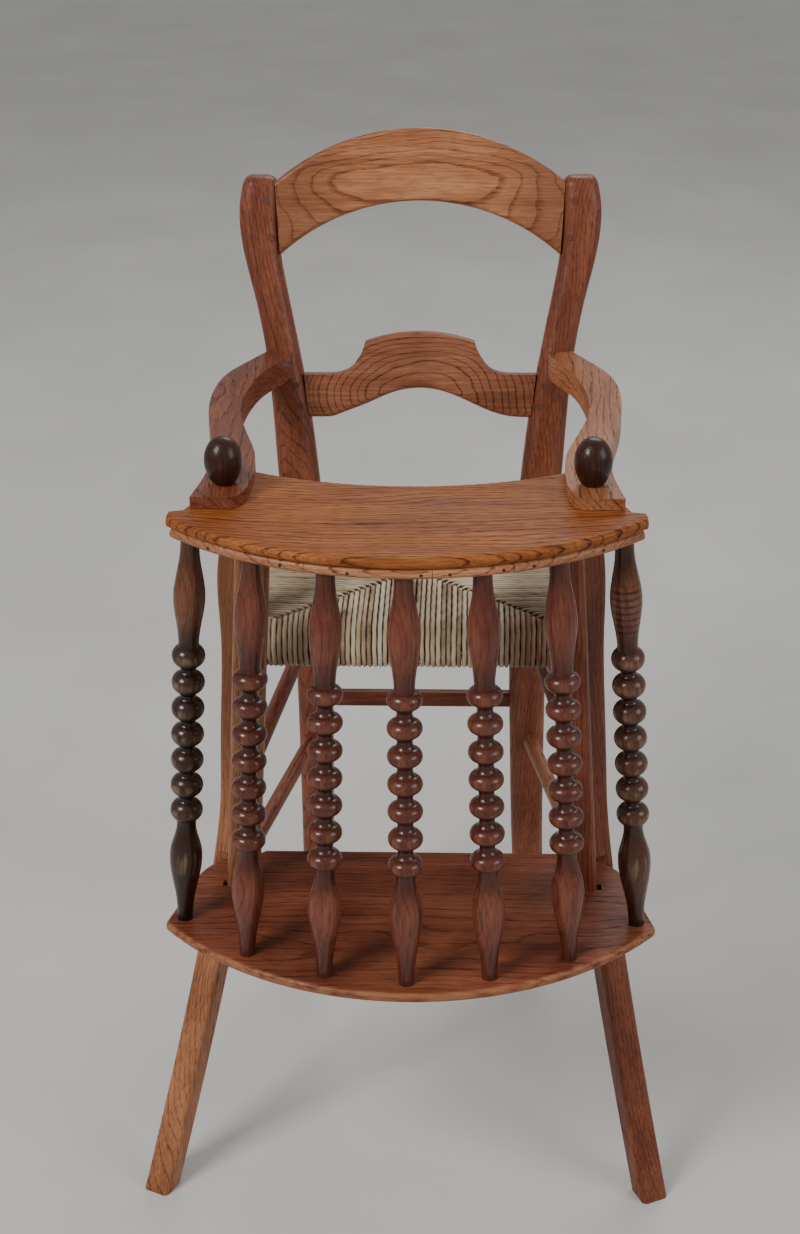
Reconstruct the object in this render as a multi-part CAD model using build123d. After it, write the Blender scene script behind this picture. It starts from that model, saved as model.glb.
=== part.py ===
from build123d import *
import math
import os

# Child's high chair in turned and bandsawn wood, with a rush seat.
# Millimetres, +Z up, the child faces -Y, +X is on the right seen from the front.
# While the pieces are made, y = 0 is the line of the front legs and x = 0 the middle of the
# seat; at the end everything moves so that the origin is under the middle of the whole chair.

# --- driving dimensions -------------------------------------------------------------------
CHAIR_TOP = 930.0           # top of the crest rail
SEAT_TOP = 574.0            # top of the rush
TRAY_TOP = 721.0
FOOTREST_TOP = 330.0
ARM_TOP = 731.5             # top of the arm pads
LEG_DEPTH = 280.0           # front legs to rear legs
RAKE = 70.0 / 306.0         # backward lean of the posts above the seat

# front legs: square stock turned a little outwards, straight at the top, swept below the knee
FRONT_STOCK = 27.0
FRONT_TURN = 25.0           # degrees that the outer face looks outwards
FRONT_TOP_X = 151.5
KNEE_Z = 380.0
KNEE_X = 165.0
KNEE_Y = 6.0
FOOT_FORWARD = 100.0        # the feet stand this far in front of the knees
FOOT_SPREAD = {-1: 81.0, 1: 65.0}    # and this much further out: the hand-cut pair is uneven

# arms
ARM_BOTTOM = 707.0
ARM_FALL = 9.5              # the rear end of the arm is this much lower
PAD_BOTTOM = TRAY_TOP + 0.5
PAD_REAR_Y = -11.0          # the arm is thinner in front of this line, over the tray
ARM_REAR_Y = 305.0

# lift-out pegs
PEG_X = 152.7
PEG_Y = -62.0
PEG_STEM = 11.0
PEG_CLEARANCE = 0.1
PEG_LENGTH = 46.0           # stem below the pad top
KNOB_WIDTH = 32.0
KNOB_HEIGHT = 41.0

# tray
TRAY_THICK = 10.0
TRAY_RADIUS = 281.0
TRAY_FRONT_Y = -190.0
TRAY_HALF = 196.0
BEAD_THICK = 9.0
BEAD_WIDTH = 26.0
BEAD_JOINTS = (-16.4, 4.7, 18.1)    # butt joints, degrees from the middle of the front
BEAD_GAP = 0.4
NAIL = 2.6
NAIL_ANGLES = (-34.5, -20.5, -9.0, 2.9, 7.5, 16.3, 21.5, 34.5)

# footrest board
BOARD_THICK = 9.0
BOARD_RADIUS = 286.0
BOARD_FRONT_Y = -222.5
BOARD_HALF = 219.0
LEDGE_REACH = 8.5           # the ledge in the front leg starts this far in front of the leg line
LEDGE_HEIGHT = 12.3

# spindles and uprights between tray and footrest
SPINDLE_FOOT_X = (0.0, 71.0, 140.5, 202.0)
SPINDLE_HEAD_X = (0.0, 62.0, 123.0, 177.0)
SPINDLE_FOOT_INSET = 18.0
SPINDLE_HEAD_INSET = 14.0
BEADS = 7
BEAD_PITCH = 25.2
FIRST_BEAD = 114.0          # lowest bead above the footrest
COVE = 9.0                  # radius where a bead meets its coves
TENON = 6.0
UPRIGHT_WIDTH = 30.0
UPRIGHT_DEPTH = 22.0
UPRIGHT_Y = -54.0
UPRIGHT_FOOT_X = 155.0
UPRIGHT_HEAD_X = 130.0

# seat
RAIL_Z = SEAT_TOP - 24.0
RAIL_HEIGHT = 26.0
RAIL_DEPTH = 20.0
RUSH_THICK = 49.0
RUSH_ROLL = 20.0            # rounding of the rush over the rails

# stretchers
STRETCHER = 15.5            # diameter
PIN = 6.0

# posts and rails of the back
POST_DOME = 9.5             # rounding of the post's top
BACK_THICK = 20.0
BACK_EDGE = 4.5
BOW_EDGE = 5.0


# --- lines that the legs and posts follow ---------------------------------------------------
def rake_y(z):
    """Depth of the back's middle plane at height z."""
    return LEG_DEPTH + max(0.0, z - SEAT_TOP) * RAKE


def front_leg_line(z, side):
    """Centre of a front leg at height z; side is -1 on the left and 1 on the right."""
    if z >= KNEE_Z:
        t = (ARM_BOTTOM - z) / (ARM_BOTTOM - KNEE_Z)
        return side * (FRONT_TOP_X + (KNEE_X - FRONT_TOP_X) * t ** 1.5), KNEE_Y
    t = (KNEE_Z - z) / KNEE_Z
    return side * (KNEE_X + FOOT_SPREAD[side] * t ** 1.22), KNEE_Y - FOOT_FORWARD * t ** 1.5


# height, distance from the middle, depth, width and thickness of a rear leg
REAR_LEG = (
    (0.0, 124.0, 326.0, 29.0, 27.0),
    (75.0, 120.0, 309.0, 31.5, 28.0),
    (150.0, 116.5, 296.0, 34.0, 29.0),
    (290.0, 113.4, 282.5, 36.5, 30.0),
    (400.0, 112.5, 279.5, 39.0, 31.0),
    (500.0, 115.5, 279.0, 41.0, 32.0),
    (600.0, 123.0, 286.0, 41.0, 32.0),
    (657.0, 128.5, 299.0, 38.0, 31.0),
    (718.0, 137.0, 313.0, 33.5, 30.0),
    (771.0, 147.2, 325.0, 33.0, 29.0),
    (811.0, 155.6, 334.2, 35.6, 28.5),
    (850.0, 159.0, 343.2, 38.0, 28.5),
    (872.0, 157.6, 348.2, 36.0, 28.0),
    (886.0, 156.0, 351.4, 31.0, 26.0),
)


# --- chair ---------------------------------------------------------------------------------
def rear_leg(side):
    sections = []
    for z, x, y, width, depth in REAR_LEG:
        outline = RectangleRounded(width, depth, 0.42 * depth)
        sections.append(Pos(side * x, y, z) * outline)
    leg = loft(sections)
    return fillet(leg.faces().sort_by(Axis.Z)[-1].edges(), POST_DOME)


def front_leg(side):
    heights = [ARM_BOTTOM, 640, 560, 480, 420, 380, 340, 300, 250, 200, 150, 100, 50, 0]
    sections = []
    for z in heights:
        x, y = front_leg_line(z, side)
        outline = RectangleRounded(FRONT_STOCK, FRONT_STOCK, 5.0)
        sections.append(Pos(x, y, z) * Rot(0, 0, side * FRONT_TURN) * outline)
    leg = loft(sections)
    x, y = front_leg_line(ARM_BOTTOM, side)
    return leg + Pos(x, y, ARM_BOTTOM + 4) * Cylinder(7, 22)


def raked_board(outline, thick):
    """A flat board standing in the raked plane of the back."""
    lean = math.atan(RAKE)
    plane = Plane(origin=(0, LEG_DEPTH, SEAT_TOP), x_dir=(1, 0, 0), z_dir=(0, -math.cos(lean), math.sin(lean)))
    return extrude(plane.offset(-thick / 2) * make_face(outline), thick)


def up(z):
    """Height along the raked plane for a height above the floor."""
    return (z - SEAT_TOP) * math.hypot(1.0, RAKE)


def crest_rail():
    half_top = 142.0
    half_bottom = 138.0
    top = ThreePointArc((-half_top, up(880)), (0, up(CHAIR_TOP)), (half_top, up(880)))
    right = Line((half_top, up(880)), (half_bottom, up(811)))
    bottom = ThreePointArc((half_bottom, up(811)), (0, up(862)), (-half_bottom, up(811)))
    left = Line((-half_bottom, up(811)), (-half_top, up(880)))
    rail = raked_board(Curve() + [top, right, bottom, left], BACK_THICK)
    arcs = rail.edges().filter_by(GeomType.CIRCLE)
    return fillet(arcs, BACK_EDGE)


def back_rail():
    """The lower rail of the back, a bow with a step on each shoulder."""
    half_top = 116.0
    half_bottom = 111.0
    shoulder = (55.5, up(724))
    step = (54.0, up(728.5))
    top = []
    bottom = []
    for side in (1, -1):
        flat = (side * 97, up(696.5))
        top += [Line((side * half_top, up(696.5)), flat)]
        top += [Spline(flat, (side * 82, up(697.3)), (side * 68.5, up(703)), (side * 61, up(712.5)),
                       (side * shoulder[0], shoulder[1]), tangents=((-side, 0), (-side * 0.3, 1)))]
        top += [Line((side * shoulder[0], shoulder[1]), (side * step[0], step[1]))]
        ends = Line((side * half_top, up(696.5)), (side * half_bottom, up(654.5)))
        bottom += [ends]
    crown = ThreePointArc((step[0], step[1]), (0, up(737.5)), (-step[0], step[1]))
    low = Spline((half_bottom, up(654.5)), (82, up(657)), (54, up(667.5)), (26, up(679)), (0, up(683)),
                 (-26, up(679)), (-54, up(667.5)), (-82, up(657)), (-half_bottom, up(654.5)),
                 tangents=((-1, 0), (-1, 0)))
    rail = raked_board(Curve() + top + bottom + [crown, low], BACK_THICK)
    long_edges = rail.edges().filter_by(lambda e: e.length > 100)
    return fillet(long_edges, BOW_EDGE)


def arm(side):
    outer = [(150, ARM_REAR_Y), (168, 265), (183, 228), (190, 180), (190, 145), (187, 110),
             (181, 70), (175, 35), (171.5, 0), (170.5, -35), (173.5, -65), (178, -93)]
    inner = [(131.5, -52), (131.5, -25), (134, 5), (140, 32), (150, 72), (158, 112),
             (160, 145), (157, 190), (148, 235), (130, 283), (127, ARM_REAR_Y)]
    plan = Curve() + [
        Spline(*[(side * x, y) for x, y in outer]),
        Line((side * 178, -93), (side * 147, -93)),
        Spline((side * 147, -93), (side * 136, -82), (side * 131.5, -52), tangents=((-side, 0), (0, 1))),
        Spline(*[(side * x, y) for x, y in inner]),
        Line((side * 127, ARM_REAR_Y), (side * 150, ARM_REAR_Y)),
    ]
    block = Pos(0, 0, ARM_BOTTOM - 20) * extrude(make_face(plan), 60)
    rear = ARM_REAR_Y + 5
    side_view = Polyline((-100, ARM_TOP), (0, ARM_TOP), (rear, ARM_TOP - ARM_FALL), (rear, ARM_BOTTOM - ARM_FALL),
                         (30, ARM_BOTTOM), (PAD_REAR_Y, ARM_BOTTOM), (PAD_REAR_Y, PAD_BOTTOM),
                         (-100, PAD_BOTTOM), close=True)
    profile = extrude(Plane.YZ * make_face(side_view), 400, both=True)
    return block & profile


# --- seat ----------------------------------------------------------------------------------
def bar(start, end, height, depth, rounding):
    """A straight rail of rounded rectangular section between two points."""
    start, end = Vector(start), Vector(end)
    along = (end - start).normalized()
    across = Vector(0, 0, 1).cross(along).normalized()
    plane = Plane(origin=start, x_dir=across, z_dir=along)
    section = plane * RectangleRounded(depth, height, rounding)
    return extrude(section, (end - start).length)


def rod(start, end, diameter):
    start, end = Vector(start), Vector(end)
    plane = Plane(origin=start, z_dir=(end - start).normalized())
    return extrude(plane * Circle(diameter / 2), (end - start).length)


def seat_corner(side, row, z=RAIL_Z):
    if row == "front":
        x, y = front_leg_line(z, side)
        return Vector(x, y, z)
    return Vector(side * 118.5, LEG_DEPTH + 1, z)


def seat_rails():
    reach = 6.0             # the rails stop inside the legs
    rails = {}
    pairs = {
        "seat_rail_front": (seat_corner(-1, "front"), seat_corner(1, "front"), 2.0),
        "seat_rail_rear": (seat_corner(-1, "rear"), seat_corner(1, "rear"), 2.0),
        "seat_rail_left": (seat_corner(-1, "front"), seat_corner(-1, "rear"), -2.0),
        "seat_rail_right": (seat_corner(1, "front"), seat_corner(1, "rear"), -2.0),
    }
    for name, (start, end, lift) in pairs.items():
        along = (end - start).normalized() * reach
        shift = Vector(0, 0, lift)
        rails[name] = bar(start + along + shift, end - along + shift, RAIL_HEIGHT - 6, RAIL_DEPTH, 6)
    return rails


def rush_seat():
    outline = Polyline((-168, -15), (168, -15), (132, 298), (-132, 298), close=True)
    seat = Pos(0, 0, SEAT_TOP - RUSH_THICK) * extrude(make_face(outline), RUSH_THICK)
    level = seat.edges().filter_by(lambda e: abs(e.tangent_at(0.5).Z) < 0.01)
    return fillet(level, RUSH_ROLL)


# --- front unit: tray, spindles, uprights and footrest ----------------------------------------
def arc_y(x, radius, front_y):
    return front_y + radius - math.sqrt(radius ** 2 - x ** 2)


def tray():
    tip_y = arc_y(TRAY_HALF, TRAY_RADIUS, TRAY_FRONT_Y)
    front = ThreePointArc((-TRAY_HALF, tip_y), (0, TRAY_FRONT_Y), (TRAY_HALF, tip_y))
    rear = ThreePointArc((129, -12), (0, -41), (-129, -12))
    right = Polyline((TRAY_HALF, tip_y), (194.5, tip_y + 12), (183, tip_y + 15), (152, -13), (129, -12))
    left = Polyline((-129, -12), (-152, -13), (-183, tip_y + 15), (-194.5, tip_y + 12), (-TRAY_HALF, tip_y))
    top = Pos(0, 0, TRAY_TOP - TRAY_THICK) * extrude(make_face(Curve() + [front, right, rear, left]), TRAY_THICK)
    front_edges = top.edges().filter_by(GeomType.CIRCLE).group_by(Axis.Y)[0]
    top = fillet(front_edges, 4.6)
    rear_edges = top.edges().filter_by(GeomType.CIRCLE).filter_by(lambda e: e.length > 200 and e.center().Y > -60)
    top = fillet(rear_edges, 2.5)
    hole = (PEG_STEM + 2 * PEG_CLEARANCE) / 2
    for side in (-1, 1):
        slot = Pos(side * PEG_X, PEG_Y, TRAY_TOP - TRAY_THICK / 2) * Cylinder(hole, 3 * TRAY_THICK)
        mouth = Pos(side * PEG_X, PEG_Y + 50, TRAY_TOP - TRAY_THICK / 2) * Box(2 * hole, 100, 3 * TRAY_THICK)
        top -= slot + mouth
    return top


def ring_piece(start_angle, end_angle, outer, inner, thick, bottom):
    """A piece of a ring about the tray's centre; angles are from the middle of the front."""
    centre_y = TRAY_FRONT_Y + TRAY_RADIUS

    def at(radius, angle):
        a = math.radians(angle)
        return (radius * math.sin(a), centre_y - radius * math.cos(a))

    middle = (start_angle + end_angle) / 2
    outline = Curve() + [
        ThreePointArc(at(outer, start_angle), at(outer, middle), at(outer, end_angle)),
        Line(at(outer, end_angle), at(inner, end_angle)),
        ThreePointArc(at(inner, end_angle), at(inner, middle), at(inner, start_angle)),
        Line(at(inner, start_angle), at(outer, start_angle)),
    ]
    piece = Pos(0, 0, bottom) * extrude(make_face(outline), thick)
    outer_edges = piece.edges().filter_by(GeomType.CIRCLE).filter_by(lambda e: abs(e.radius - outer) < 0.01)
    return fillet(outer_edges, thick * 0.46)


def tray_bead():
    """The moulding under the tray's front edge, in butted lengths."""
    outer = TRAY_RADIUS - 1.5
    tip = math.degrees(math.asin((TRAY_HALF - 2.5) / outer))
    half_gap = math.degrees(BEAD_GAP / outer) / 2
    bottom = TRAY_TOP - TRAY_THICK - BEAD_THICK
    ends = (-tip, *BEAD_JOINTS, tip)
    pieces = []
    for start, end in zip(ends, ends[1:]):
        pieces.append(ring_piece(start + half_gap, end - half_gap, outer, outer - BEAD_WIDTH, BEAD_THICK, bottom))
    return pieces


def bead_nails():
    """Small nails that hold the moulding, driven in from the front."""
    outer = TRAY_RADIUS - 1.5
    centre_y = TRAY_FRONT_Y + TRAY_RADIUS
    nails = []
    for angle in NAIL_ANGLES:
        a = math.radians(angle)
        out = Vector(math.sin(a), -math.cos(a), 0)
        head = Vector(0, centre_y, TRAY_TOP - TRAY_THICK - BEAD_THICK / 2) + out * (outer + 0.25)
        nails.append(rod(head, head - out * 12, NAIL))
    return nails


def footrest():
    tip_y = arc_y(BOARD_HALF, BOARD_RADIUS, BOARD_FRONT_Y)
    front = ThreePointArc((-BOARD_HALF, tip_y), (0, BOARD_FRONT_Y), (BOARD_HALF, tip_y))
    sides = []
    for side in (1, -1):
        tip = (side * BOARD_HALF, tip_y)
        waist = (side * 201.5, -54)
        heel = (side * 172, -12)
        inside = (side * 150, -LEDGE_REACH)
        sides += [Line(tip, waist), ThreePointArc(waist, (side * 191, -28), heel)]
        sides += [Line(heel, inside), Line(inside, (side * 140, 0))]
    rear = Line((140, 0), (-140, 0))
    bottom = FOOTREST_TOP - BOARD_THICK
    board = Pos(0, 0, bottom) * extrude(make_face(Curve() + [front, rear] + sides), BOARD_THICK)
    tips = board.edges().filter_by(Axis.Z).filter_by(lambda e: abs(e.center().X) > BOARD_HALF - 1)
    board = fillet(tips, 6)
    rim = board.edges().filter_by(lambda e: abs(e.tangent_at(0.5).Z) < 0.01)
    return fillet(rim, 3.6)


def spindle_profile(length, bead, cove, half_bead):
    """Half outline of a turned spindle: radius against height above the footrest."""
    last = FIRST_BEAD + (BEADS - 1) * BEAD_PITCH
    lines = [Line((0, -TENON), (6.8, -TENON)), Line((6.8, -TENON), (6.8, 2))]
    neck = (8.4, FIRST_BEAD - half_bead - 4)
    lines += [Spline((6.8, 2), (8.1, 22), (13.4, 76), neck, tangents=((0.02, 1), (0.05, 1)))]
    lines += [Line(neck, (cove, FIRST_BEAD - half_bead))]
    for i in range(BEADS):
        centre = FIRST_BEAD + i * BEAD_PITCH
        low, high = (cove, centre - half_bead), (cove, centre + half_bead)
        lines += [ThreePointArc(low, (bead, centre), high)]
        if i < BEADS - 1:
            waist = (cove - 2.4, centre + BEAD_PITCH / 2)
            lines += [ThreePointArc(high, waist, (cove, centre + BEAD_PITCH - half_bead))]
    top_neck = (8.6, last + half_bead + 4)
    lines += [Line((cove, last + half_bead), top_neck)]
    lines += [Spline(top_neck, (13.4, last + 58), (9.2, length - 22), (7.8, length - 1), tangents=((0.05, 1), (0, 1)))]
    lines += [Line((7.8, length - 1), (7.8, length + TENON)), Line((7.8, length + TENON), (0, length + TENON))]
    lines += [Line((0, length + TENON), (0, -TENON))]
    return Curve() + lines


def spindle(number):
    """Spindle 1 is on the left and 7 on the right."""
    offset = number - 4
    side = -1 if offset < 0 else 1
    place = abs(offset)
    foot_x = side * SPINDLE_FOOT_X[place]
    head_x = side * SPINDLE_HEAD_X[place]
    foot = Vector(foot_x, arc_y_inset(foot_x, BOARD_RADIUS, BOARD_FRONT_Y, SPINDLE_FOOT_INSET), FOOTREST_TOP)
    head_z = TRAY_TOP - TRAY_THICK - BEAD_THICK
    head = Vector(head_x, arc_y_inset(head_x, TRAY_RADIUS, TRAY_FRONT_Y, SPINDLE_HEAD_INSET), head_z)
    axis = head - foot
    outer_pair = place == 3
    half_bead = 8.9 if outer_pair else 7.4
    bead = 14.2 if outer_pair else 14.8
    profile = Plane.XZ * make_face(spindle_profile(axis.length, bead, COVE, half_bead))
    turned = revolve(profile, Axis.Z)
    return Plane(origin=foot, z_dir=axis.normalized()).location * turned


def arc_y_inset(x, radius, front_y, inset):
    return front_y + radius - math.sqrt((radius - inset) ** 2 - x ** 2)


def upright(side):
    low, high = FOOTREST_TOP - TENON, TRAY_TOP - TRAY_THICK + TENON - 1
    sections = []
    for z in (low, high):
        t = (z - FOOTREST_TOP) / (TRAY_TOP - TRAY_THICK - FOOTREST_TOP)
        x = side * (UPRIGHT_FOOT_X + (UPRIGHT_HEAD_X - UPRIGHT_FOOT_X) * t)
        sections.append(Pos(x, UPRIGHT_Y, z) * RectangleRounded(UPRIGHT_WIDTH, UPRIGHT_DEPTH, 8))
    return loft(sections)


def upright_mortise(side):
    """The hole in the footrest is a little long on the outer side of the upright."""
    return Pos(side * (UPRIGHT_FOOT_X + 15.5), UPRIGHT_Y - 3, FOOTREST_TOP) * Box(7, 9, 2 * TENON)


# --- pegs, stretchers and pins -----------------------------------------------------------------
def peg(side):
    """A turned pin with an egg-shaped knob, pushed down through the arm pad and the tray."""
    stem = PEG_STEM / 2
    base = 8.0
    belly = KNOB_WIDTH / 2
    widest = 0.47 * KNOB_HEIGHT
    outline = Curve() + [
        Line((0, -PEG_LENGTH), (stem - 1.5, -PEG_LENGTH)),
        Line((stem - 1.5, -PEG_LENGTH), (stem, -PEG_LENGTH + 3)),
        Line((stem, -PEG_LENGTH + 3), (stem, 0)),
        Line((stem, 0), (base, 0)),
        Spline((base, 0), (belly * 0.86, 0.22 * KNOB_HEIGHT), (belly, widest), tangents=((1, 0.7), (0, 1))),
        Spline((belly, widest), (belly * 0.74, widest + 0.70 * (KNOB_HEIGHT - widest)), (0, KNOB_HEIGHT),
               tangents=((0, 1), (-1, 0))),
        Line((0, KNOB_HEIGHT), (0, -PEG_LENGTH)),
    ]
    turned = revolve(Plane.XZ * make_face(outline), Axis.Z)
    return Pos(side * PEG_X, PEG_Y, ARM_TOP) * turned


def side_stretcher(side, front_z, rear_z):
    x, y = front_leg_line(front_z, side)
    rear_x = side * (113.4 if rear_z < 350 else 112.8)
    front, rear = Vector(x, y, front_z), Vector(rear_x, 281, rear_z)
    along = (rear - front).normalized()
    return rod(front + along * 4, rear - along * 5, STRETCHER)


def rear_stretcher():
    z = 341.0
    return bar((-104, 281, z), (104, 281, z), 17, 13, 4)


def joint_pins():
    """Wooden pins through the mortises of the back, from the front of the posts."""
    pins = []
    lean = Vector(0, -1, RAKE).normalized()
    for side in (-1, 1):
        for x, z in ((150.5, 862), (146.5, 828), (123.5, 686), (119.5, 666)):
            middle = Vector(side * x, rake_y(z), z)
            pins.append(rod(middle + lean * 14.6, middle - lean * 8, PIN))
    return pins


# --- assembly -----------------------------------------------------------------------------------
def tenon(half_low, half_high, z_low, z_high):
    """The tongues at both ends of a back rail, as one pair."""
    tongues = []
    for side in (-1, 1):
        reach = 12.0
        low, high = (side * half_low, up(z_low)), (side * half_high, up(z_high))
        corners = Polyline(low, (low[0] + side * reach, low[1]), (high[0] + side * reach, high[1]), high, close=True)
        tongues.append(raked_board(corners, 9.0))
    return tongues


def build():
    """Every node by name, each as one solid or a list of like solids."""
    nodes = {}
    names = {-1: "left", 1: "right"}

    crest = crest_rail()
    for tongue in tenon(136.0, 138.0, 818, 870):
        crest += tongue
    lower = back_rail()
    for tongue in tenon(108.0, 110.0, 660, 691):
        lower += tongue
    pins = joint_pins()
    nodes.update(seat_rails())
    nodes["rear_stretcher"] = rear_stretcher()
    for side in (-1, 1):
        name = names[side]
        nodes[f"side_stretcher_upper_{name}"] = side_stretcher(side, 386, 432)
        nodes[f"side_stretcher_lower_{name}"] = side_stretcher(side, 286, 298)
        nodes[f"arm_{name}"] = arm(side)
        nodes[f"rear_leg_{name}"] = rear_leg(side)
        nodes[f"front_leg_{name}"] = front_leg(side)

    # mortises: each leg and post is cut by what enters it
    entering = [crest, lower] + [nodes[n] for n in nodes if "rail" in n or "stretcher" in n]
    for side in (-1, 1):
        name = names[side]
        for leg in (f"rear_leg_{name}", f"front_leg_{name}"):
            for piece in entering:
                nodes[leg] -= piece
        nodes[f"rear_leg_{name}"] -= nodes[f"arm_{name}"]
        nodes[f"arm_{name}"] -= nodes[f"front_leg_{name}"]
        hole = Pos(side * PEG_X, PEG_Y, ARM_TOP) * Cylinder(PEG_STEM / 2 + PEG_CLEARANCE, 60)
        nodes[f"arm_{name}"] -= hole
        ledge_bottom = FOOTREST_TOP - BOARD_THICK - 0.3
        ledge = Box(100, 100, LEDGE_HEIGHT, align=(Align.CENTER, Align.MAX, Align.MIN))
        nodes[f"front_leg_{name}"] -= Pos(side * 190, 0.8 - LEDGE_REACH, ledge_bottom) * ledge
        for pin in pins:
            nodes[f"rear_leg_{name}"] -= pin
    for pin in pins:
        crest -= pin
        lower -= pin
    nodes["crest_rail"] = crest
    nodes["back_rail"] = lower
    nodes["joint_pins"] = pins

    # side rails are notched over the front and rear ones where they cross inside the legs
    for name in ("seat_rail_left", "seat_rail_right"):
        nodes[name] -= nodes["seat_rail_front"] + nodes["seat_rail_rear"]
    rush = rush_seat()
    for name in list(nodes):
        if name.startswith(("seat_rail", "rear_leg", "front_leg")):
            rush -= nodes[name]
    nodes["rush_seat"] = rush

    # front unit
    top = tray()
    beads = tray_bead()
    nails = bead_nails()
    board = footrest()
    for number in range(1, 8):
        turned = spindle(number)
        beads = [piece - turned for piece in beads]
        board -= turned
        nodes[f"spindle_{number}"] = turned
    for side in (-1, 1):
        post = upright(side)
        top -= post
        board -= post + upright_mortise(side)
        nodes[f"upright_{names[side]}"] = post
        nodes[f"peg_{names[side]}"] = peg(side)
    for nail in nails:
        beads = [piece - nail for piece in beads]
    nodes["tray"] = top
    nodes["tray_bead"] = beads
    nodes["bead_nails"] = nails
    nodes["footrest"] = board
    return nodes


def solids_of(shape):
    if isinstance(shape, list):
        return [solid for piece in shape for solid in piece.solids()]
    return list(shape.solids())


parts = {name: solids_of(shape) for name, shape in build().items()}
boxes = [solid.bounding_box() for group in parts.values() for solid in group]
middle_x = (min(b.min.X for b in boxes) + max(b.max.X for b in boxes)) / 2
middle_y = (min(b.min.Y for b in boxes) + max(b.max.Y for b in boxes)) / 2
print(f"the whole moves by {-middle_x:.2f}, {-middle_y:.2f}")

os.makedirs("parts", exist_ok=True)
for name, group in parts.items():
    placed = [Pos(-middle_x, -middle_y, 0) * solid for solid in group]
    export_step(Compound(children=placed) if len(placed) > 1 else placed[0], f"parts/{name}.step")
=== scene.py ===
import math
import random
from typing import NamedTuple

import bpy
import numpy as np
from mathutils import Matrix, Vector


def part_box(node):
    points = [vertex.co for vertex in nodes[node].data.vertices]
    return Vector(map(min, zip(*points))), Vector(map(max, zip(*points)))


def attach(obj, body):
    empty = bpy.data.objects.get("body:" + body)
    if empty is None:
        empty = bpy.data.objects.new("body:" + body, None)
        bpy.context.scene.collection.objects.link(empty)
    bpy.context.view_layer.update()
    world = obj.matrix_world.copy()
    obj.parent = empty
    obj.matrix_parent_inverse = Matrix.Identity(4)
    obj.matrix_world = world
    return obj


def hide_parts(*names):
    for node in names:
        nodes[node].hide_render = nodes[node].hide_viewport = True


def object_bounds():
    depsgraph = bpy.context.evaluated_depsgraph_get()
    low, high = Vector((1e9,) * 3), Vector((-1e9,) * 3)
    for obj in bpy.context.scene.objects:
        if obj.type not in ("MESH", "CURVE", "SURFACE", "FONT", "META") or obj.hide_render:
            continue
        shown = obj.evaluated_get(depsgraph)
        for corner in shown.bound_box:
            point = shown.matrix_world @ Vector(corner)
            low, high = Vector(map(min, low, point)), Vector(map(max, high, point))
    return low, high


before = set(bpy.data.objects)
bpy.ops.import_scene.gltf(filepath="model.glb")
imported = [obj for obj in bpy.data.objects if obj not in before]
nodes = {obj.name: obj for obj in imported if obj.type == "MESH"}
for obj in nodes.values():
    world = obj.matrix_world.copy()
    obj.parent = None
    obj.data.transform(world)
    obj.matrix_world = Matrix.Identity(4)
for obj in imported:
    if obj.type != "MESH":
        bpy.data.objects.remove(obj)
cad_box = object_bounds()
SEED = 7

# --- places, all from the frame ---------------------------------------------------------------
TRAY_LOW, TRAY_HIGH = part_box("tray")
BOARD_LOW, BOARD_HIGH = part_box("footrest")
RUSH_LOW, RUSH_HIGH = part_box("rush_seat")
CENTRE_X = (TRAY_LOW.x + TRAY_HIGH.x) / 2
CHAIR_FRONT = BOARD_LOW.y
CHAIR_TOP = cad_box[1][2]


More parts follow.
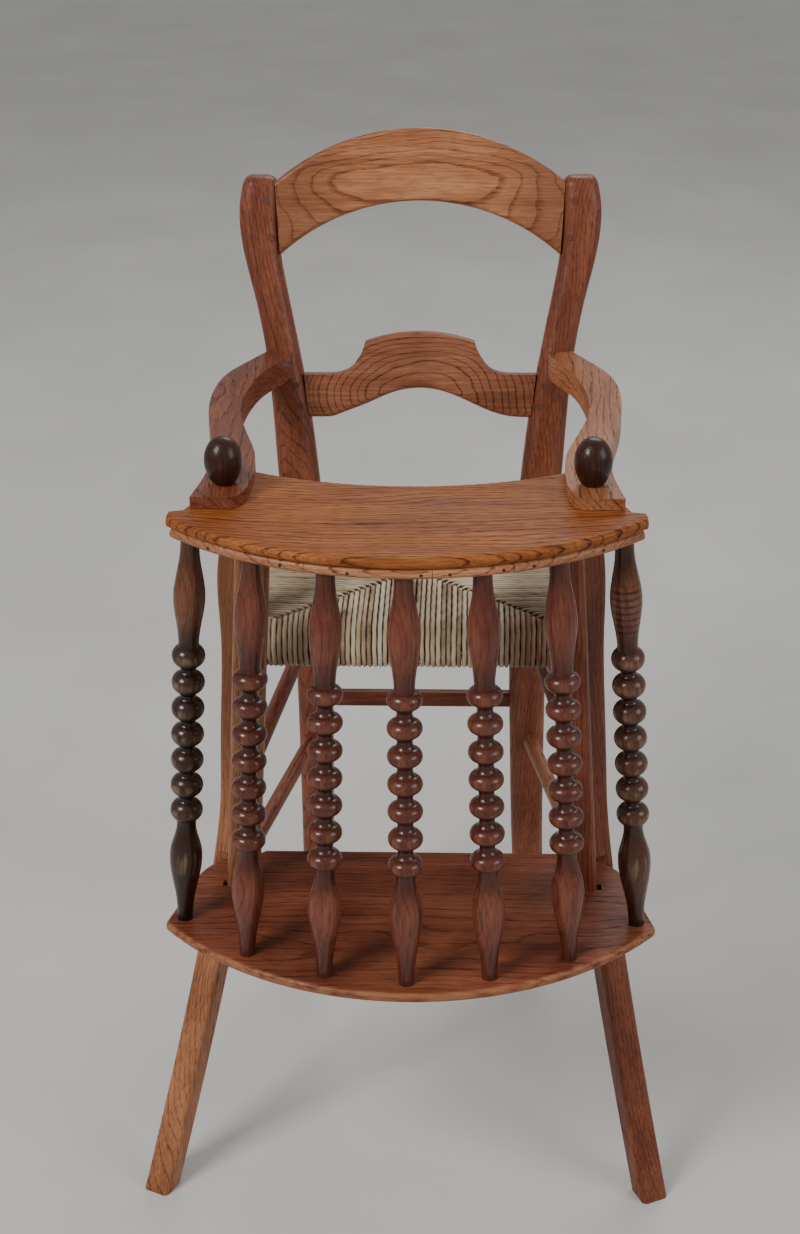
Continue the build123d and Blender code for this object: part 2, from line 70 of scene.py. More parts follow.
# --- building blocks for materials ------------------------------------------------------------
class Graph:
    """Short calls that build the nodes of one material."""

    def __init__(self, name):
        self.material = bpy.data.materials.new(name)
        self.material.use_nodes = True
        self.tree = self.material.node_tree
        self.tree.nodes.clear()
        self.shader = self.add("ShaderNodeBsdfPrincipled")
        output = self.add("ShaderNodeOutputMaterial")
        self.put(self.shader.outputs[0], output.inputs[0])

    def add(self, kind, **settings):
        node = self.tree.nodes.new(kind)
        for key, value in settings.items():
            setattr(node, key, value)
        return node

    def put(self, source, socket):
        if isinstance(source, bpy.types.NodeSocket):
            self.tree.links.new(source, socket)
        else:
            socket.default_value = source

    def math(self, operation, *values, clamp=False):
        node = self.add("ShaderNodeMath", operation=operation, use_clamp=clamp)
        for value, socket in zip(values, node.inputs):
            self.put(value, socket)
        return node.outputs[0]

    def length(self, vector):
        node = self.add("ShaderNodeVectorMath", operation="LENGTH")
        self.put(vector, node.inputs[0])
        return node.outputs["Value"]

    def separate(self, vector):
        node = self.add("ShaderNodeSeparateXYZ")
        self.put(vector, node.inputs[0])
        return node.outputs

    def combine(self, x, y, z):
        node = self.add("ShaderNodeCombineXYZ")
        for value, socket in zip((x, y, z), node.inputs):
            self.put(value, socket)
        return node.outputs[0]

    def place(self, vector, location=(0, 0, 0), rotation=(0, 0, 0), scale=(1, 1, 1)):
        node = self.add("ShaderNodeMapping")
        self.put(vector, node.inputs["Vector"])
        self.put(location, node.inputs["Location"])
        self.put(rotation, node.inputs["Rotation"])
        self.put(scale, node.inputs["Scale"])
        return node.outputs[0]

    def surface(self):
        """The place on the piece, in its own metres."""
        return self.add("ShaderNodeTexCoord").outputs["Object"]

    def noise(self, vector, scale=1.0, detail=2.0, roughness=0.5):
        node = self.add("ShaderNodeTexNoise")
        self.put(vector, node.inputs["Vector"])
        self.put(scale, node.inputs["Scale"])
        self.put(detail, node.inputs["Detail"])
        self.put(roughness, node.inputs["Roughness"])
        return node.outputs[0]

    def span(self, value, low, high, to_low=0.0, to_high=1.0):
        node = self.add("ShaderNodeMapRange", interpolation_type="SMOOTHSTEP")
        for number, socket in zip((value, low, high, to_low, to_high), node.inputs):
            self.put(number, socket)
        return node.outputs[0]

    def ramp(self, value, stops):
        node = self.add("ShaderNodeValToRGB")
        self.put(value, node.inputs[0])
        elements = node.color_ramp.elements
        while len(elements) < len(stops):
            elements.new(0.5)
        for element, (position, colour) in zip(elements, stops):
            element.position = position
            element.color = (*colour, 1.0)
        return node.outputs[0]

    def mix(self, factor, a, b):
        node = self.add("ShaderNodeMix", data_type="RGBA")
        self.put(factor, node.inputs[0])
        for colour, socket in zip((a, b), (node.inputs[6], node.inputs[7])):
            if isinstance(colour, tuple) and len(colour) == 3:
                colour = (*colour, 1.0)
            self.put(colour, socket)
        return node.outputs[2]

    def bump(self, height, distance, strength):
        node = self.add("ShaderNodeBump")
        self.put(height, node.inputs["Height"])
        self.put(distance, node.inputs["Distance"])
        self.put(strength, node.inputs["Strength"])
        self.put(node.outputs[0], self.shader.inputs["Normal"])

    def finish(self, colour, roughness, coat=0.0, coat_roughness=0.2, specular=0.5):
        inputs = self.shader.inputs
        self.put(colour, inputs["Base Color"])
        self.put(roughness, inputs["Roughness"])
        inputs["Coat Weight"].default_value = coat
        inputs["Coat Roughness"].default_value = coat_roughness
        inputs["Specular IOR Level"].default_value = specular
        return self.material


def coordinates(node):
    """Every vertex of a CAD node, as an array."""
    mesh = nodes[node].data
    values = np.zeros(len(mesh.vertices) * 3)
    mesh.vertices.foreach_get("co", values)
    return values.reshape(-1, 3)


def grain_line(node):
    """The middle of a piece and the direction of its length."""
    points = coordinates(node)
    low, high = points.min(0), points.max(0)
    centre = (low + high) / 2
    direction = np.linalg.svd(points - points.mean(0), full_matrices=False)[2][0]
    if direction[np.argmax(np.abs(direction))] < 0:
        direction = -direction
    return Vector(centre), Vector(direction)


def turned_line(node):
    """The axis of a turned piece, from the middles of its two ends."""
    points = coordinates(node)
    z = points[:, 2]
    reach = 0.004
    foot = points[z < z.min() + reach]
    head = points[z > z.max() - reach]
    low = (foot.min(0) + foot.max(0)) / 2
    high = (head.min(0) + head.max(0)) / 2
    return Vector((low + high) / 2), Vector(high - low).normalized()


# --- wood ---------------------------------------------------------------------------------------
# noise cells to the metre, along the grain and across it
FINE_CELLS = (30, 160, 160)
PORE_CELLS = (70, 820, 820)
FIBRE_CELLS = (18, 520, 520)
STREAK_CELLS = (5, 70, 70)
PATCH_CELLS = (8, 14, 14)
SIDE_WARP = 9           # slow waves of the rings, to the metre across the grain
DEPTH_WARP = 14

MEAN_TONE = 0.64        # 0 is the palette's dark colour and 1 its light one
FIBRE_CONTRAST = 1.00
STREAK_CONTRAST = 0.75
PATCH_CONTRAST = 1.15
DIRT = 0.30             # dirt is this share of the dark colour
GRAIN_DEPTH = 0.00022
WAX_ROUGHNESS = 0.16

# turned work
COVE_RADIUS = 0.0060    # dirt fills the coves up to here
CREST_RADIUS = 0.0130   # and the beads are rubbed from here outwards
RUB_FADE = 0.0014
GRIME_FADE = 0.02
RING_PITCH = 0.0062
RING_FADE = 0.006


class Turning(NamedTuple):
    """Wear of a turned piece. Zones are (from, to) along its axis, from its middle."""

    zone: tuple         # where old grime darkens it
    grime: float        # and how much
    dirt: float         # how dark the coves are
    rubbed: tuple       # colour of the rubbed crests
    rings: tuple = None     # where scorched rings lie


def dirty(dark):
    return tuple(channel * DIRT for channel in dark)


def growth(g, local, heart, ring, wander, stretch, sweep, seed):
    """The part of a year's growth at each point, from 0 to 1, and the fine noise that roughens it."""
    u, v, w = g.separate(local)[:3]
    # the rings wander slowly along the grain, which opens them into long flames
    slow = g.place(local, (seed, seed * 1.7, 0), scale=(stretch, SIDE_WARP, SIDE_WARP))
    warp = g.math("SUBTRACT", g.noise(slow, 1.0, 2.0, 0.45), 0.5)
    slow_too = g.place(local, (seed + 4.1, 2.3, seed), scale=(stretch * 1.6, DEPTH_WARP, DEPTH_WARP))
    warp_too = g.math("SUBTRACT", g.noise(slow_too, 1.0, 2.0, 0.5), 0.5)
    across = g.math("ADD", g.math("SUBTRACT", v, heart[0]), g.math("MULTIPLY", warp, wander * 2))
    below = g.math("ADD", g.math("SUBTRACT", w, heart[1]), g.math("MULTIPLY", warp_too, wander * 2))
    radius = g.length(g.combine(across, below, 0.0))
    radius = g.math("MULTIPLY_ADD", g.math("MULTIPLY", u, u), sweep, radius)
    fine = g.noise(g.place(local, scale=FINE_CELLS), 1.0, 2.0, 0.6)
    uneven = g.noise(g.combine(g.math("MULTIPLY", radius, 90), seed, 0.0), 1.0, 1.0, 0.5)
    shifted = g.math("MULTIPLY_ADD", uneven, ring * 1.6, g.math("MULTIPLY_ADD", fine, ring * 0.4, radius))
    return g.math("FRACT", g.math("DIVIDE", shifted, ring)), fine


def soiled(g, colour, local, fine, dark, wear):
    """Turned work with grime, scorched rings, dirt in the coves and rubbed crests."""
    u, v, w = g.separate(local)[:3]
    low, high = wear.zone
    below_top = g.span(u, high + GRIME_FADE, high - GRIME_FADE / 2)
    zone = g.math("MULTIPLY", g.span(u, low - GRIME_FADE, low + GRIME_FADE / 2), below_top)
    colour = g.mix(g.math("MULTIPLY", zone, wear.grime), colour, dark)
    if wear.rings is not None:
        first, last = wear.rings
        wave = g.math("SINE", g.math("MULTIPLY", u, 2 * math.pi / RING_PITCH))
        banded = g.math("MULTIPLY", g.span(u, first, first + RING_FADE), g.span(u, last, last - RING_FADE))
        colour = g.mix(g.math("MULTIPLY", banded, g.span(wave, -0.2, 0.9, 0.0, 0.75)), colour, dark)
    out = g.length(g.combine(v, w, 0.0))
    coves = g.span(out, CREST_RADIUS, COVE_RADIUS)
    colour = g.mix(g.math("MULTIPLY", coves, wear.dirt), colour, dirty(dark))
    crests = g.span(out, CREST_RADIUS, CREST_RADIUS + RUB_FADE)
    rub = g.math("MULTIPLY", crests, g.span(fine, 0.42, 0.66))
    return g.mix(g.math("MULTIPLY", rub, 0.42), colour, wear.rubbed)


def wood(name, line, dark, middle, light, heart=(0.01, -0.045), ring=0.0042, wander=0.016, flame=0.5,
         pores=0.6, gloss=0.36, coat=0.06, specular=0.22, stretch=3.2, sweep=0.0, shade=None, turned=None,
         worn=None, seed=0.0):
    """Ring-porous wood. line is (middle, grain direction); heart is where the log's centre lay,
    across and below the piece; ring is the width of a year's growth, flame how strongly it shows;
    sweep bends the rings across the ends. shade is (from, to, amount) of darkening along the grain,
    towards both ends if from and to are both positive."""
    g = Graph(name)
    centre, along = line
    turn = along.rotation_difference(Vector((1, 0, 0)))
    local = g.place(g.surface(), turn @ -centre, turn.to_euler())
    year, fine = growth(g, local, heart, ring, wander, stretch, sweep, seed)

    # early wood is a dark line of open pores that fades, late wood is dense and lighter
    early = g.math("MULTIPLY", g.span(year, 0.30, 0.05), g.span(year, 0.0, 0.05))
    dashes = g.noise(g.place(local, (seed, 0, 0), scale=PORE_CELLS), 1.0, 1.0, 0.5)
    pore = g.math("MULTIPLY", g.span(dashes, 0.48, 0.62), g.math("MULTIPLY_ADD", early, 0.62, 0.38))
    fibre = g.noise(g.place(local, (0, seed, 0), scale=FIBRE_CELLS), 1.0, 3.0, 0.6)
    streak = g.noise(g.place(local, (seed, 2, 0), scale=STREAK_CELLS), 1.0, 2.0, 0.5)
    patch = g.noise(g.place(local, (seed, 0, 0), scale=PATCH_CELLS), 1.0, 3.0, 0.55)

    tone = g.math("MULTIPLY_ADD", g.math("SUBTRACT", fibre, 0.5), FIBRE_CONTRAST, MEAN_TONE)
    tone = g.math("MULTIPLY_ADD", g.math("SUBTRACT", streak, 0.5), STREAK_CONTRAST, tone)
    tone = g.math("MULTIPLY_ADD", g.math("SUBTRACT", patch, 0.5), PATCH_CONTRAST, tone)
    tone = g.math("MULTIPLY_ADD", early, -flame, tone, clamp=True)
    colour = g.ramp(tone, [(0.0, dark), (0.5, middle), (1.0, light)])
    colour = g.mix(g.math("MULTIPLY", pore, pores), colour, dirty(dark))

    if shade is not None:
        start, stop, amount = shade
        u = g.separate(local)[0]
        distance = g.math("ABSOLUTE", u) if start > 0 and stop > 0 else u
        colour = g.mix(g.math("MULTIPLY", g.span(distance, start, stop), amount), colour, dark)
    if turned is not None:
        colour = soiled(g, colour, local, fine, dark, turned)
    if worn is not None:
        edge, strength, bare = worn(g)
        rub = g.math("MULTIPLY", edge, g.span(fine, 0.30, 0.62))
        colour = g.mix(g.math("MULTIPLY", rub, strength), colour, bare)

    rough = g.math("MULTIPLY_ADD", pore, 0.25, g.span(patch, 0.3, 0.7, gloss - 0.05, gloss + 0.07))
    height = g.math("MULTIPLY_ADD", early, -0.45, g.math("MULTIPLY", pore, -1.0))
    g.bump(height, GRAIN_DEPTH, 0.6)
    return g.finish(colour, rough, coat, WAX_ROUGHNESS, specular)


def cover(node, material):
    """Puts one material on a CAD node."""
    if not nodes[node].material_slots:
        nodes[node].data.materials.append(material)
    for slot in nodes[node].material_slots:
        slot.material = material


def make_wooden(node, line, palette, **looks):
    cover(node, wood(f"{node}_wood", line, *palette, **looks))


# palettes, each from dark to light
HONEY = ((0.110, 0.032, 0.013), (0.330, 0.122, 0.050), (0.500, 0.230, 0.115))
CHESTNUT = ((0.050, 0.012, 0.006), (0.150, 0.039, 0.018), (0.255, 0.080, 0.040))
RUSSET = ((0.040, 0.009, 0.004), (0.105, 0.024, 0.010), (0.175, 0.046, 0.019))
CHESTNUT_LIGHT = ((0.065, 0.019, 0.009), (0.205, 0.068, 0.032), (0.330, 0.130, 0.068))
HONEY_DEEP = ((0.080, 0.019, 0.004), (0.240, 0.068, 0.015), (0.375, 0.132, 0.036))
DUSKY = ((0.016, 0.0065, 0.0045), (0.115, 0.036, 0.016), (0.210, 0.078, 0.036))
SPINDLE = ((0.040, 0.009, 0.006), (0.120, 0.030, 0.017), (0.210, 0.060, 0.034))
AMBER = ((0.095, 0.030, 0.011), (0.275, 0.102, 0.044), (0.410, 0.176, 0.084))
UMBER = ((0.022, 0.007, 0.004), (0.060, 0.021, 0.012), (0.115, 0.048, 0.028))
OXBLOOD = ((0.042, 0.010, 0.005), (0.155, 0.040, 0.019), (0.270, 0.084, 0.042))
KNOB = ((0.010, 0.003, 0.002), (0.034, 0.010, 0.006), (0.080, 0.026, 0.015))

BOARD_BOW = 0.100               # the footrest's front rim swings forwards by this in the middle
BEAD_ZONE = (-0.095, 0.095)     # where the beads lie on a spindle, from its middle
OUTER_ZONE = (-0.30, 0.095)


def frame_wood():
    """Each piece of the frame has its own board: palette, log centre, ring width, wander and flame."""
    plain = ((0.01, -0.02), 0.0030, 0.006, 0.25)
    choices = {
        "crest_rail": (HONEY, (-0.070, -0.004), 0.0068, 0.042, 0.40),
        "back_rail": (CHESTNUT_LIGHT, (-0.050, -0.010), 0.0050, 0.026, 0.55),
        "rear_leg_left": (CHESTNUT, (0.022, -0.040), 0.0036, 0.010, 0.30),
        "rear_leg_right": (CHESTNUT, (-0.018, -0.050), 0.0036, 0.010, 0.30),
        "arm_left": (CHESTNUT, (0.030, -0.040), 0.0050, 0.016, 0.30),
        "arm_right": (AMBER, (0.030, -0.040), 0.0050, 0.016, 0.35),
        "front_leg_left": (AMBER, (0.015, -0.040), 0.0040, 0.010, 0.35),
        "front_leg_right": (CHESTNUT, (0.015, -0.040), 0.0038, 0.010, 0.30),
        "side_stretcher_upper_left": (CHESTNUT, *plain),
        "side_stretcher_upper_right": (CHESTNUT, *plain),
        "side_stretcher_lower_left": (CHESTNUT, *plain),
        "side_stretcher_lower_right": (AMBER, *plain),
        "rear_stretcher": (RUSSET, *plain),
        "seat_rail_front": (UMBER, *plain),
        "seat_rail_rear": (UMBER, *plain),
        "seat_rail_left": (UMBER, *plain),
        "seat_rail_right": (UMBER, *plain),
    }
    sweeps = {"crest_rail": 1.6, "back_rail": 4.0}
    # the front legs darken towards the top: painted shade from the tray above them
    shades = {"crest_rail": (0.050, 0.130, 0.55), "front_leg_left": (-0.05, 0.16, 0.72),
              "front_leg_right": (-0.02, 0.22, 0.35), "rear_leg_left": (0.10, -0.30, 0.25)}
    for number, (node, (palette, heart, ring, wander, flame)) in enumerate(choices.items()):
        make_wooden(node, grain_line(node), palette, heart=heart, ring=ring, wander=wander, flame=flame,
                    sweep=sweeps.get(node, 0.0), shade=shades.get(node), seed=number * 1.31)


def tray_wood():
    across = ((TRAY_LOW + TRAY_HIGH) / 2, Vector((1, 0, 0)))
    make_wooden("tray", across, HONEY_DEEP, heart=(0.105, -0.035), ring=0.0050, wander=0.030, flame=0.55,
                pores=0.80, stretch=2.6, gloss=0.46, coat=0.0, specular=0.16, sweep=0.35, seed=6.3)
    make_wooden("tray_bead", across, HONEY, heart=(0.0, -0.060), ring=0.0040, shade=(0.02, 0.20, 0.35),
                seed=5.1)
    for side, palette in (("left", AMBER), ("right", CHESTNUT)):
        node = f"upright_{side}"
        make_wooden(node, grain_line(node), palette, heart=(0.01, -0.03), ring=0.0038, flame=0.35, seed=1.9)


def footrest_wood():
    low, high = BOARD_LOW, BOARD_HIGH
    middle = (low + high) / 2
    half = (high.x - low.x) / 2
    arc = (half * half + BOARD_BOW * BOARD_BOW) / (2 * BOARD_BOW)

    def worn(g):
        """Pale wear where feet rub the front arris: near the rim's radius from the arc's centre."""
        x, y = g.separate(g.surface())[:2]
        x_from = g.math("SUBTRACT", x, middle.x)
        out = g.length(g.combine(x_from, g.math("SUBTRACT", y, low.y + arc), 0.0))
        return g.span(out, arc - 0.005, arc - 0.0015), 0.7, (0.34, 0.15, 0.07)

    make_wooden("footrest", (middle, Vector((1, 0, 0))), OXBLOOD, heart=(-0.04, -0.055), ring=0.0046,
                wander=0.012, flame=0.28, gloss=0.40, coat=0.03, specular=0.16, worn=worn, seed=8.2)


def spindle_wear(number):
    """The inner spindles are soiled in the beads only; the outer two are dark from the beads down."""
    if number == 1:
        return Turning(OUTER_ZONE, 0.88, 0.70, (0.34, 0.22, 0.12))
    if number == 7:
        return Turning(OUTER_ZONE, 0.50, 0.70, (0.34, 0.22, 0.12), rings=(0.100, 0.152))
    return Turning(BEAD_ZONE, 0.55, 0.55, (0.24, 0.080, 0.040))


def turned_wood():
    for number in range(1, 8):
        node = f"spindle_{number}"
        palette = DUSKY if number in (1, 7) else SPINDLE
        make_wooden(node, turned_line(node), palette, heart=(0.012, -0.028), ring=0.0040, wander=0.010,
                    flame=0.18, pores=0.5, gloss=0.24, coat=0.35, turned=spindle_wear(number),
                    seed=number * 2.17)
    for side in ("left", "right"):
        node = f"peg_{side}"
        make_wooden(node, turned_line(node), KNOB, heart=(0.006, -0.02), ring=0.0040, wander=0.006,
                    flame=0.2, pores=0.3, gloss=0.33, coat=0.15, seed=4.4)


def joint_pins():
    g = Graph("pin_end_grain")
    speck = g.noise(g.surface(), 900, 3.0, 0.6)
    colour = g.ramp(speck, [(0.3, (0.045, 0.013, 0.006)), (0.7, (0.130, 0.038, 0.016))])
    g.bump(speck, 0.0002, 0.5)
    cover("joint_pins", g.finish(colour, 0.55, 0.1))


def bead_nails():
    g = Graph("nail_iron")
    speck = g.noise(g.surface(), 1400, 3.0, 0.6)
    colour = g.ramp(speck, [(0.35, (0.015, 0.012, 0.011)), (0.7, (0.075, 0.048, 0.034))])
    g.bump(speck, 0.0001, 0.5)
    g.shader.inputs["Metallic"].default_value = 0.6
    cover("bead_nails", g.finish(colour, 0.5))


# --- rush seat -------------------------------------------------------------------------------------
STRAND = 0.0047         # pitch of the twisted strand
STRAND_R = 0.00236      # a little over half the pitch, so that strands press on each other
RINGS_EVERY = 0.0042    # spacing of the mesh rings along a strand
SIDES = 9
TWIST = 0.019           # length of one turn of the twist
TWIST_DEPTH = 0.10      # how much of the radius the two lobes of the twist stand out
WEAVE = 0.00025         # sideways waver of a strand
LEVEL_IN = 0.005        # a strand lies level from this far off its mitre
LEVEL_BESIDE_LEG = 0.004
LEAST_FLAT = 0.006      # a shorter level stretch is left out
ROLL_STEPS = 12
EDGE_IN = 0.020         # how far in the mitres start from the rail's outer edge
SEAT_DIP = 0.004
DIP_HALF_WIDTH = 0.15   # the seat's middle is lower, out to here
FRONT_HALF = 0.137      # half the space between the front legs
REAR_HALF = 0.100
REAR_TAPER = 0.036      # each side comes in by this from front to rear
MITRE_SLOPE = 0.93      # the front mitres' advance for each step inwards
FRONT_SET_IN = 0.018    # the mitres start this far inside the legs
REAR_SET_IN = 0.004
FRONT_LEG_REACH = 0.041     # the legs stand beside the rush up to here from its front and rear
REAR_LEG_REACH = 0.032
LEG_GAP = 0.012         # beside a leg a strand stops this far short of the edge
TUCK = 0.006            # how far a strand sinks into its mitre
SIDE_MARGIN = 0.002     # the side strands start this far outside the mitres' ends
SIDE_PACKING = 0.018    # extra width that presses a few more strands into the sides


class Strands:
    """Collects many twisted tubes into one mesh."""

    def __init__(self):
        self.random = random.Random(SEED)
        self.points = []
        self.faces = []
        self.tone = []
        self.flank = []
        self.count = 0

    def add(self, path, across, start_tone):
        """One strand along a path that lies in a plane; across is that plane's normal."""
        path = resample(np.array(path), RINGS_EVERY)
        along = np.gradient(path, axis=0)
        along /= np.linalg.norm(along, axis=1)[:, None]
        across = np.array(across, float)
        up = np.cross(across, along)
        r = STRAND_R * self.random.uniform(0.93, 1.07)
        phase = self.random.uniform(0, 2 * math.pi)
        travelled = np.arange(len(path)) * RINGS_EVERY
        angle = np.linspace(0, 2 * math.pi, SIDES, endpoint=False)
        lay = angle[None, :] * 2 - (travelled / TWIST * 2 * math.pi)[:, None] + phase
        radius = r * (1 + TWIST_DEPTH * np.cos(lay))
        wobble = WEAVE * np.sin(travelled / self.random.uniform(0.02, 0.05) + phase)
        middle = path + across[None, :] * wobble[:, None]
        ring = (middle[:, None, :] + across[None, None, :] * (radius * np.cos(angle))[:, :, None]
                + up[:, None, :] * (radius * np.sin(angle))[:, :, None])
        first = self.count
        self.points.append(ring.reshape(-1, 3))
        rows = len(path)
        for i in range(rows - 1):
            for j in range(SIDES):
                a = first + i * SIDES + j
                b = first + i * SIDES + (j + 1) % SIDES
                self.faces.append((a, b, b + SIDES, a + SIDES))
        self.faces.append(tuple(first + j for j in reversed(range(SIDES))))
        self.faces.append(tuple(first + (rows - 1) * SIDES + j for j in range(SIDES)))
        self.tone.append(np.full(rows * SIDES, start_tone))
        # how far each point faces sideways, which places the painted shade between strands
        self.flank.append(np.tile(np.abs(np.cos(angle)), rows))
        self.count += rows * SIDES

    def build(self, name):
        mesh = bpy.data.meshes.new(name)
        mesh.from_pydata(np.concatenate(self.points).tolist(), [], self.faces)
        for attribute, values in (("strand_tone", self.tone), ("strand_flank", self.flank)):
            layer = mesh.attributes.new(attribute, "FLOAT", "POINT")
            layer.data.foreach_set("value", np.concatenate(values).astype(np.float32))
        mesh.polygons.foreach_set("use_smooth", [True] * len(mesh.polygons))
        piece = bpy.data.objects.new(name, mesh)
        bpy.context.scene.collection.objects.link(piece)
        return piece


def resample(path, step):
    """The same line with points at an even spacing."""
    gaps = np.linalg.norm(np.diff(path, axis=0), axis=1)
    distance = np.concatenate([[0], np.cumsum(gaps)])
    count = max(3, int(round(distance[-1] / step)) + 1)
    even = np.linspace(0, distance[-1], count)
    return np.stack([np.interp(even, distance, path[:, k]) for k in range(3)], axis=1)


def hook(inner, outer, low, high, dip, wrap=True):
    """Points across and up: from the mitre over the top, round the rail and back below, or, without
    wrap, only as far as the leg."""
    roll = (high - low) / 2
    middle = (high + low) / 2
    if not wrap:
        return [(inner, high - dip), (inner + LEVEL_BESIDE_LEG, high), (outer, high)]
    has_flat = outer - roll > inner + LEAST_FLAT
    line = [(inner, high - dip), (inner + LEVEL_IN, high)]
    if has_flat:
        line.append((outer - roll, high))
    for step in range(1, ROLL_STEPS):
        a = math.pi / 2 - step * math.pi / ROLL_STEPS
        line.append((outer - roll + roll * math.cos(a), middle + roll * math.sin(a)))
    if has_flat:
        line.append((outer - roll, low))
    line += [(inner + LEVEL_IN, low), (inner, low + dip)]
    return line


def rush_seat():
    """Four triangles of strands that meet in mitres, wrapped over the rails."""
    strands = Strands()
    pick = strands.random
    low, high = RUSH_LOW.z + STRAND_R, RUSH_HIGH.z - STRAND_R
    front, rear = RUSH_LOW.y + STRAND_R, RUSH_HIGH.y - STRAND_R
    half_front = (RUSH_HIGH.x - RUSH_LOW.x) / 2
    half_rear = half_front - REAR_TAPER
    front_mitre = front + EDGE_IN
    rear_mitre = rear - EDGE_IN
    depth = rear - front

    def half_at(y):
        return half_front + (half_rear - half_front) * (y - front) / depth - STRAND_R

    def dipped(x, y, z):
        across = max(0.0, 1 - (x / DIP_HALF_WIDTH) ** 2)
        along = max(0.0, 1 - ((y - (front + rear) / 2) / (depth / 2)) ** 2)
        return z - SEAT_DIP * across * along

    def mitre_front(x):
        return front_mitre + max(0.0, FRONT_HALF - FRONT_SET_IN - abs(x)) * MITRE_SLOPE

    def mitre_rear(x):
        return rear_mitre - max(0.0, REAR_HALF - REAR_SET_IN - abs(x))

    def tone_of(x, y):
        """Strands change colour in runs of a few turns."""
        return 0.12 + pick.random() * 0.68 + 0.20 * (0.5 + 0.5 * math.sin(x * 61 + y * 37))

    for edge, half, mitre, way in ((front, FRONT_HALF, mitre_front, -1), (rear, REAR_HALF, mitre_rear, 1)):
        count = int(2 * half / STRAND)
        for i in range(count + 1):
            x = -half + i * 2 * half / count
            inner = mitre(x) + way * pick.uniform(-0.001, 0.0015)
            line = hook(way * inner, way * edge, low, high, TUCK)
            path = [(CENTRE_X + x, way * s, dipped(x, way * s, z)) for s, z in line]
            strands.add(path, (1, 0, 0), tone_of(x, edge))

    count = int((rear_mitre - front_mitre + SIDE_PACKING) / STRAND)
    for i in range(count + 1):
        y = front_mitre - SIDE_MARGIN + i * (rear_mitre - front_mitre + 2 * SIDE_MARGIN) / count
        reach_front = FRONT_HALF - FRONT_SET_IN - (y - front_mitre) / MITRE_SLOPE
        reach_rear = REAR_HALF - REAR_SET_IN - (rear_mitre - y)
        inner = max(reach_front, reach_rear, 0.0)
        clear_of_legs = front + FRONT_LEG_REACH < y < rear - REAR_LEG_REACH
        outer = half_at(y) if clear_of_legs else half_at(y) - LEG_GAP
        dip = TUCK if inner > 0 else 0.0
        for side in (-1, 1):
            line = hook(inner - 0.001, outer, low, high, dip, clear_of_legs)
            path = [(CENTRE_X + side * s, y, dipped(s, y, z)) for s, z in line]
            strands.add(path, (0, 1, 0), tone_of(side * 0.1, y))
    piece = strands.build("rush_strands")
    piece.data.materials.append(rush_material())
    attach(piece, "chair")
    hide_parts("rush_seat")


def rush_material():
    g = Graph("rush")
    place = g.surface()
    tone = g.add("ShaderNodeAttribute", attribute_name="strand_tone").outputs["Fac"]
    x, y = g.separate(place)[:2]
    x = g.math("SUBTRACT", x, CENTRE_X)
    blade = g.noise(g.place(place, scale=(420, 420, 420)), 1.0, 3.0, 0.6)
    run = g.noise(g.place(place, scale=(38, 38, 38)), 1.0, 2.0, 0.5)
    value = g.math("MULTIPLY_ADD", g.math("SUBTRACT", run, 0.5), 0.8, tone)
    value = g.math("MULTIPLY_ADD", g.math("SUBTRACT", blade, 0.5), 0.35, value, clamp=True)
    straw = g.ramp(value, [(0.0, (0.100, 0.055, 0.026)), (0.18, (0.300, 0.205, 0.115)),
                           (0.42, (0.690, 0.520, 0.325)), (0.72, (0.830, 0.695, 0.475)),
                           (1.0, (0.900, 0.820, 0.630))])
    # painted shade lies between the strands: each strand's flanks, where it meets its neighbours, are
    # darkened
    flank = g.add("ShaderNodeAttribute", attribute_name="strand_flank").outputs["Fac"]
    straw = g.mix(g.span(flank, 0.50, 0.95, 0.0, 0.90), straw, (0.045, 0.026, 0.013))
    # the two sides have darkened, and one front corner has taken a red-brown stain
    side = g.span(g.math("ABSOLUTE", x), 0.058, 0.100)
    straw = g.mix(g.math("MULTIPLY", side, 0.66), straw, (0.120, 0.076, 0.043))
    corner = g.math("MULTIPLY", g.span(x, 0.060, 0.100), g.span(y, RUSH_LOW.y + 0.045, RUSH_LOW.y + 0.004))
    straw = g.mix(g.math("MULTIPLY", corner, 0.55), straw, (0.190, 0.062, 0.026))
    g.bump(blade, 0.0006, 0.6)
    return g.finish(straw, g.span(blade, 0.2, 0.8, 0.42, 0.62), specular=0.4)


# --- stage, light and camera --------------------------------------------------------------------------
NEUTRAL = (1.0, 0.985, 0.96)
WORLD_STRENGTH = 0.44
LENS = 38.84                # mm, on a sensor 24 mm high
EYE_RIGHT = 0.0543          # from the middle of the tray
EYE_BEFORE = 1.3697         # from the front of the footrest
EYE_ABOVE = 0.438           # from the top of the chair
PITCH, HEADING, ROLL = 0.46146, 0.04055, -0.0114


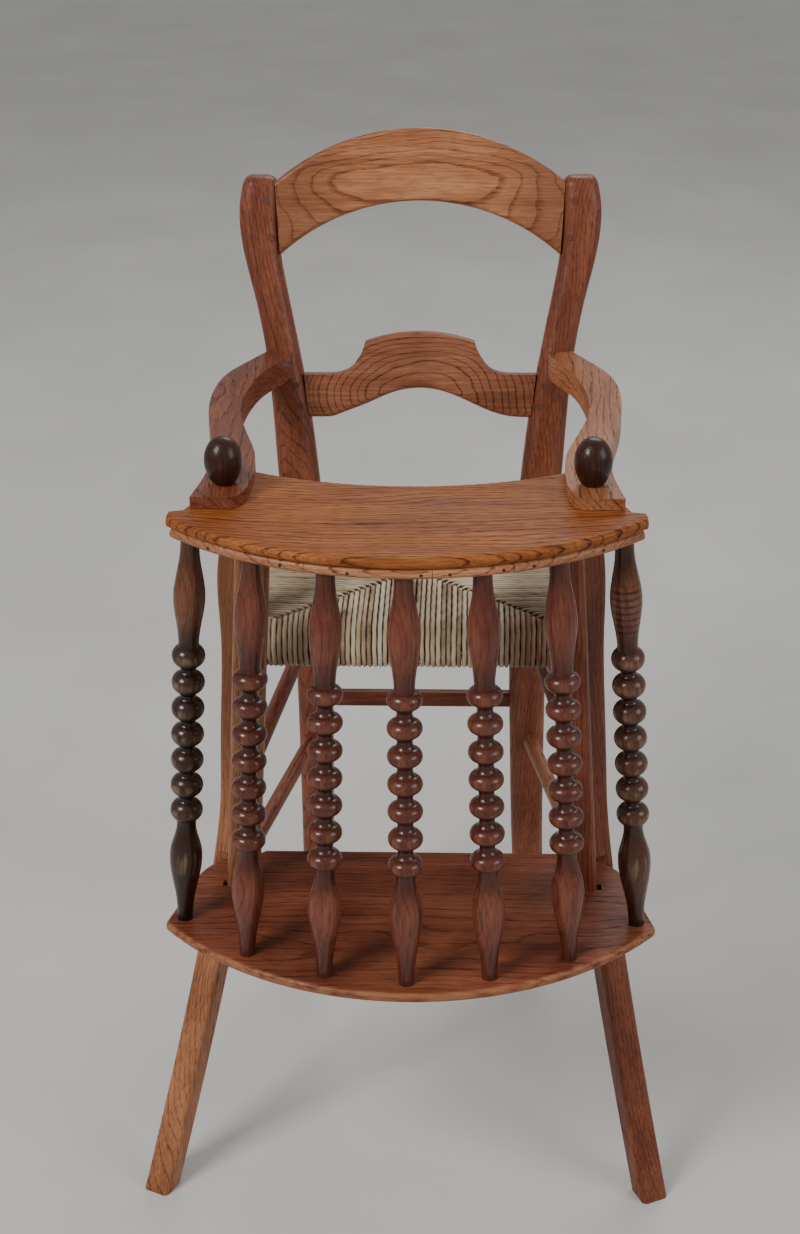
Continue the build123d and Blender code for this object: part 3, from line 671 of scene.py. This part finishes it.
def stage():
    bpy.ops.mesh.primitive_plane_add(size=14, location=(0, 3.0, 0))
    floor = bpy.context.object
    floor.name = "floor"
    g = Graph("floor_paint")
    mottled = g.noise(g.surface(), 3.0, 3.0, 0.5)
    colour = g.ramp(mottled, [(0.3, (0.50, 0.50, 0.485)), (0.7, (0.56, 0.56, 0.545))])
    floor.data.materials.append(g.finish(colour, 0.55, specular=0.3))


def area_light(name, place, aim, size, power, colour):
    light = bpy.data.lights.new(name, "AREA")
    light.shape = "RECTANGLE"
    light.size, light.size_y = size
    light.energy = power
    light.color = colour
    lamp = bpy.data.objects.new(name, light)
    lamp.location = place
    lamp.rotation_euler = (Vector(aim) - Vector(place)).to_track_quat("-Z", "Y").to_euler()
    bpy.context.scene.collection.objects.link(lamp)


def lights():
    world = bpy.data.worlds.new("studio")
    bpy.context.scene.world = world
    world.use_nodes = True
    background = world.node_tree.nodes["Background"].inputs
    background["Color"].default_value = (*NEUTRAL, 1)
    background["Strength"].default_value = WORLD_STRENGTH
    middle = (CENTRE_X, 0, CHAIR_TOP * 0.55)
    area_light("key", (-1.9, CHAIR_FRONT - 1.5, 2.6), middle, (1.1, 1.1), 84, (1.0, 0.97, 0.93))
    area_light("fill", (2.4, CHAIR_FRONT - 0.9, 1.7), middle, (1.4, 1.4), 28, NEUTRAL)
    area_light("back", (0.6, 2.4, 2.7), middle, (1.8, 1.0), 30, (1.0, 0.99, 0.97))


def camera():
    """A standing person's view, slightly from the right of the middle."""
    data = bpy.data.cameras.new("camera")
    data.sensor_fit = "VERTICAL"
    data.sensor_height = 24.0
    data.lens = LENS
    data.clip_start = 0.05
    eye = bpy.data.objects.new("camera", data)
    eye.location = (CENTRE_X + EYE_RIGHT, CHAIR_FRONT - EYE_BEFORE, CHAIR_TOP + EYE_ABOVE)
    aim = Matrix.Rotation(HEADING, 3, "Z") @ Matrix.Rotation(math.pi / 2 - PITCH, 3, "X")
    eye.rotation_euler = (aim @ Matrix.Rotation(ROLL, 3, "Z")).to_euler()
    bpy.context.scene.collection.objects.link(eye)
    bpy.context.scene.camera = eye


frame_wood()
tray_wood()
footrest_wood()
turned_wood()
joint_pins()
bead_nails()
rush_seat()
stage()
lights()
camera()

bpy.context.view_layer.update()
